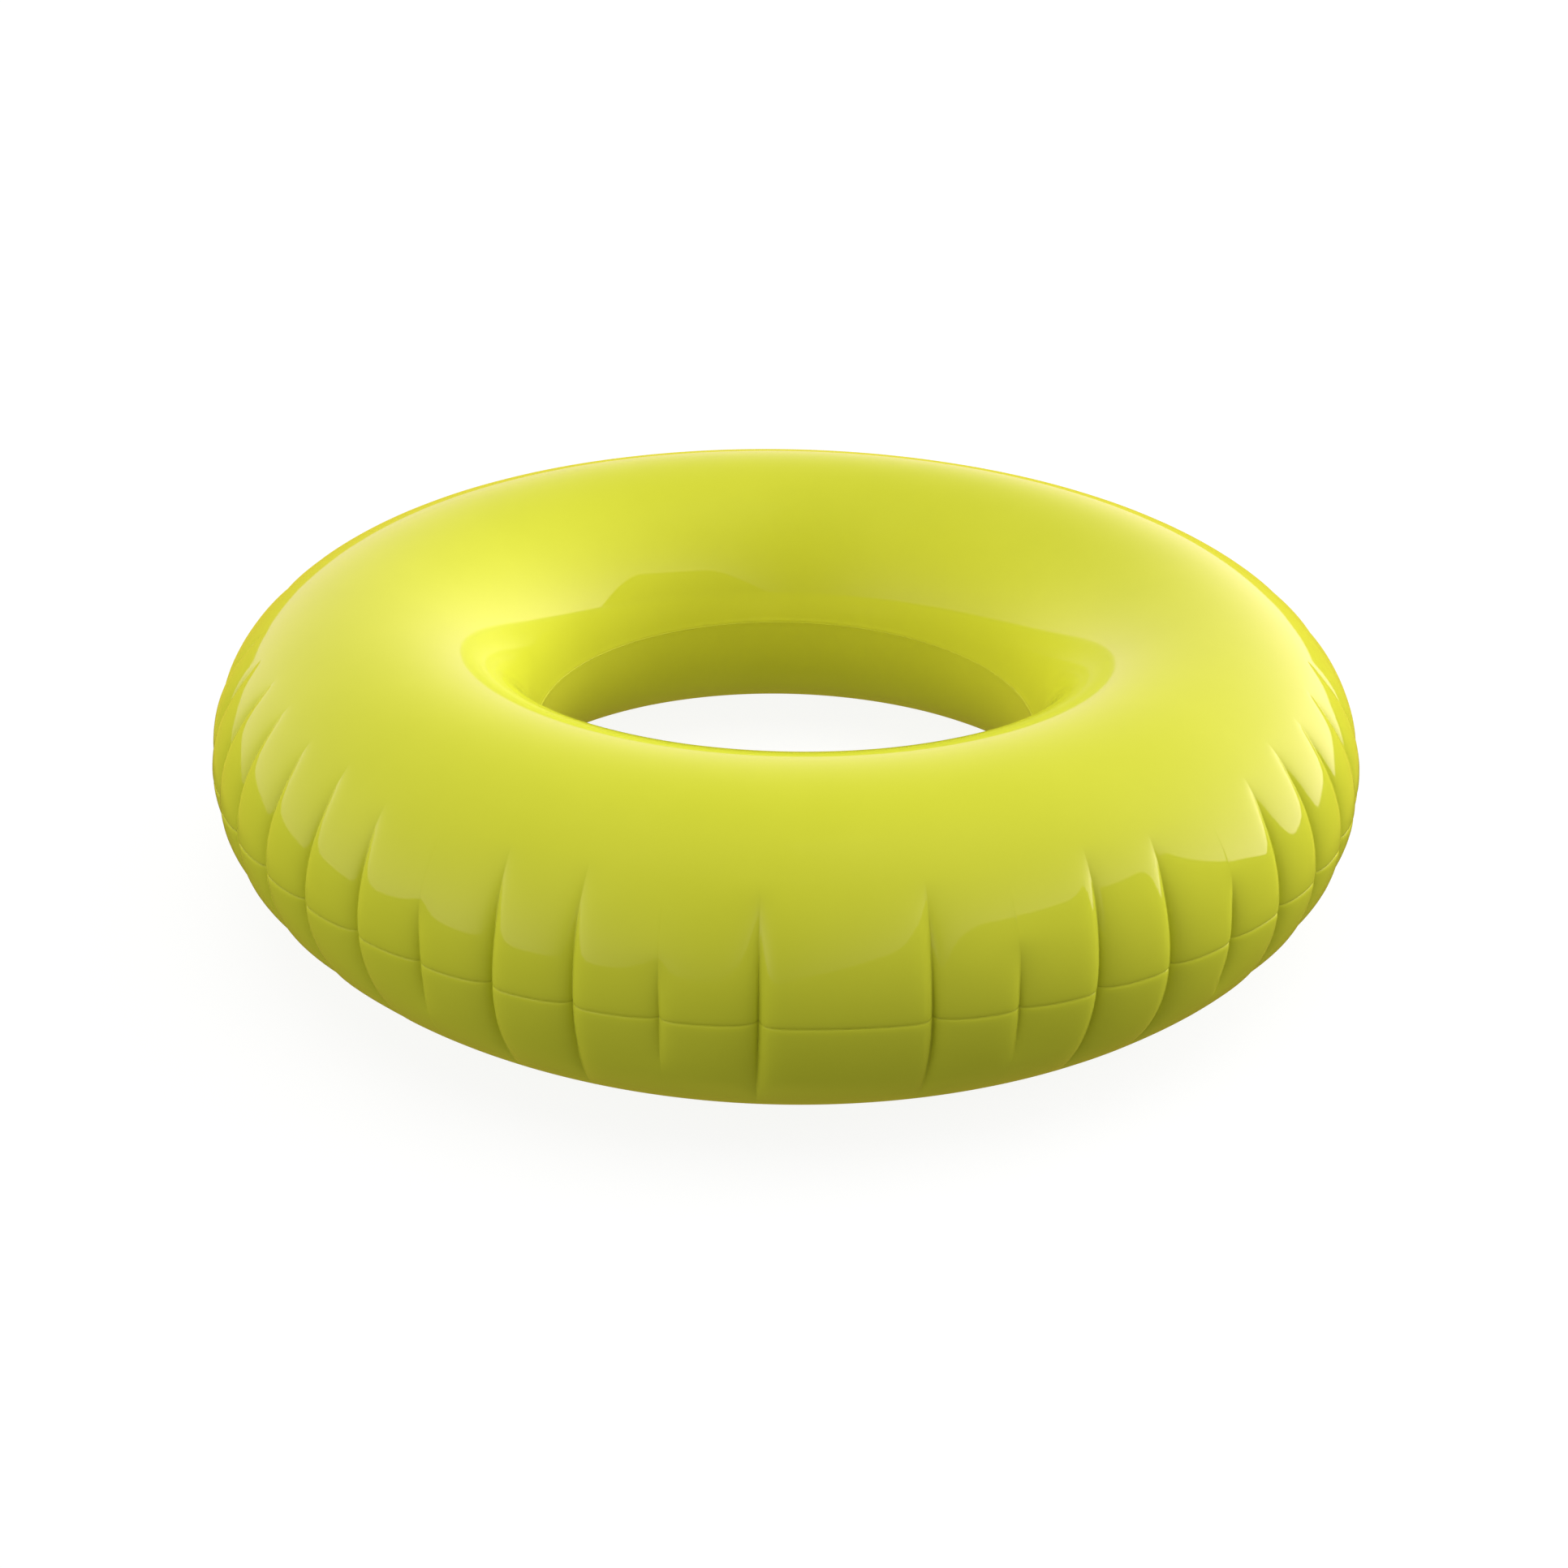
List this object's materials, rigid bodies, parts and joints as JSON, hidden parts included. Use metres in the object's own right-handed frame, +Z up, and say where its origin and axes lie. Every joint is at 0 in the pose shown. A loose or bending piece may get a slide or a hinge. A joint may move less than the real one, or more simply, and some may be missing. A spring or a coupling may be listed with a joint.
{
  "type": "towable tube",
  "caption": "Bare inflatable ring for one rider, in glossy lime-yellow PVC, with puckered welded seams and a screw-in air valve with a tethered cap low at the back.",
  "frame": {"origin": "on the ring's axis, in the plane that the ring rests on", "axes": "+Z up along the ring's axis, -Y the front, +Y the side that holds the air valve"},
  "size_m": [1.2, 1.2, 0.305],
  "materials": {
    "vinyl": "gloss lime-yellow PVC film",
    "valve_soft_plastic": "soft moulded PVC, satin",
    "valve_hard_plastic": "hard moulded plastic, satin",
    "seal_rubber": "soft seal rubber"
  },
  "bodies": {
    "tube": {"upper_skin": "vinyl", "lower_skin": "vinyl", "outer_weld_band": "vinyl", "inner_weld_band": "vinyl", "valve_base": "valve_soft_plastic"},
    "insert_seal": {"insert_gasket": "seal_rubber"},
    "insert": {"valve_insert": "valve_hard_plastic", "cap_strap": "valve_soft_plastic"},
    "flap": {"check_flap": "seal_rubber"},
    "cap_seal": {"cap_gasket": "seal_rubber"},
    "cap": {"valve_cap": "valve_hard_plastic"}
  },
  "joints": [
    {"name": "insert_lift", "type": "slide", "parent": "tube", "child": "insert_seal", "axis": [0, 0.6787, -0.7344], "range_m": [0, 0.015]},
    {"name": "insert_turn", "type": "hinge", "parent": "insert_seal", "child": "insert", "pos_m": [0, 0.55167, 0.04467], "axis": [0, 0.6787, -0.7344], "range_deg": [0, 1350]},
    {"name": "flap_open", "type": "slide", "parent": "insert", "child": "flap", "axis": [0, -0.6787, 0.7344], "range_m": [0, 0.0025], "stiffness_N_per_m": 40, "springref_m": -0.002},
    {"name": "cap_lift", "type": "slide", "parent": "insert", "child": "cap_seal", "axis": [0, 0.6787, -0.7344], "range_m": [0, 0.0075]},
    {"name": "cap_turn", "type": "hinge", "parent": "cap_seal", "child": "cap", "pos_m": [0, 0.55167, 0.04467], "axis": [0, 0.6787, -0.7344], "range_deg": [0, 900]}
  ],
  "couplings": [
    {"joint": "insert_turn", "follows": "insert_lift", "rad_per_m": 1570.8},
    {"joint": "cap_turn", "follows": "cap_lift", "rad_per_m": 2094.4}
  ]
}
